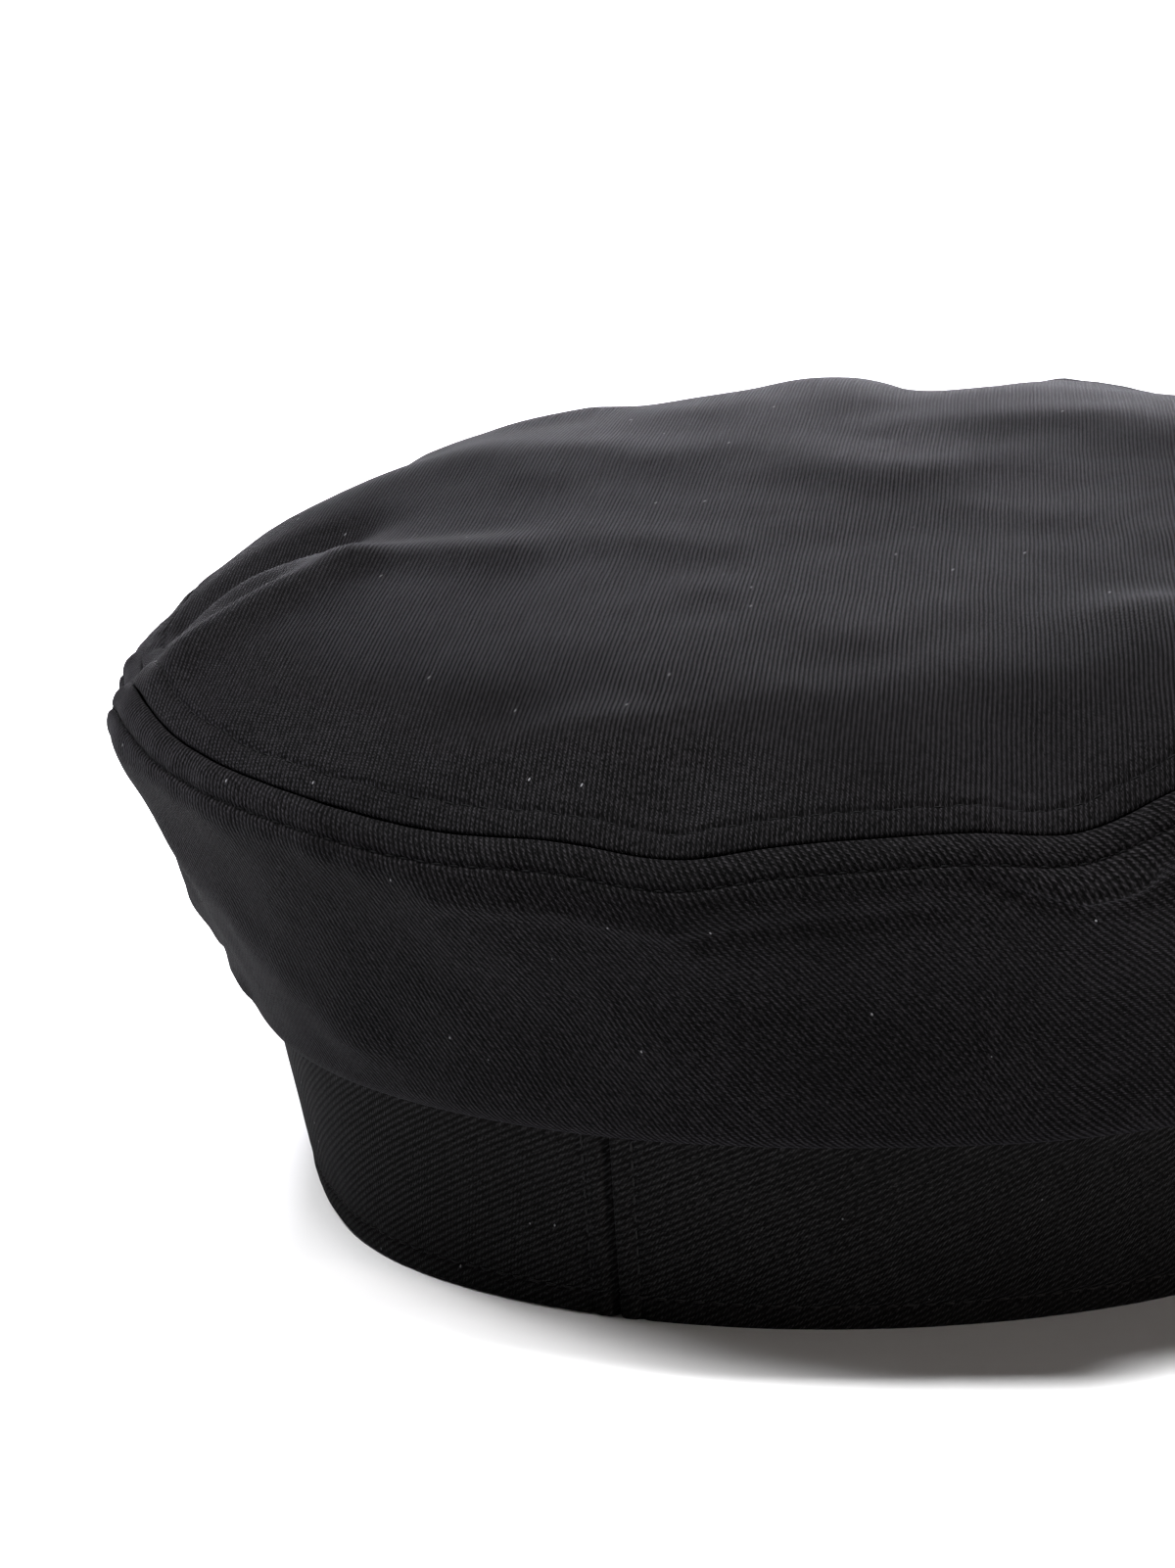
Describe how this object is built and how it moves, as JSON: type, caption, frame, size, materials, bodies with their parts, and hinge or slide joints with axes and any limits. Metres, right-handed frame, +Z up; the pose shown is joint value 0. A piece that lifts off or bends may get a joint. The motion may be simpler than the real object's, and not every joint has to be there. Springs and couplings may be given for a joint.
{
  "type": "sailor cap",
  "caption": "Soft round sailor cap without a peak: a flat puffed top, a side panel that slopes in and rolls over an upright headband, and an open head hollow.",
  "frame": {"origin": "middle of the space that the cap takes up, on the surface that its band rests on", "axes": "+Z up out of the top, +Y to the front, -Y to the centre back where the band's ends meet"},
  "size_m": [0.2426, 0.2456, 0.1116],
  "materials": {
    "crown_twill": "washed cotton twill, matt, with a dusty sheen at grazing angles",
    "band_twill": "cotton twill, matt, pressed flat"
  },
  "bodies": {
    "root": {"top_panel": "crown_twill", "side_panel": "crown_twill", "headband": "band_twill"}
  },
  "joints": []
}
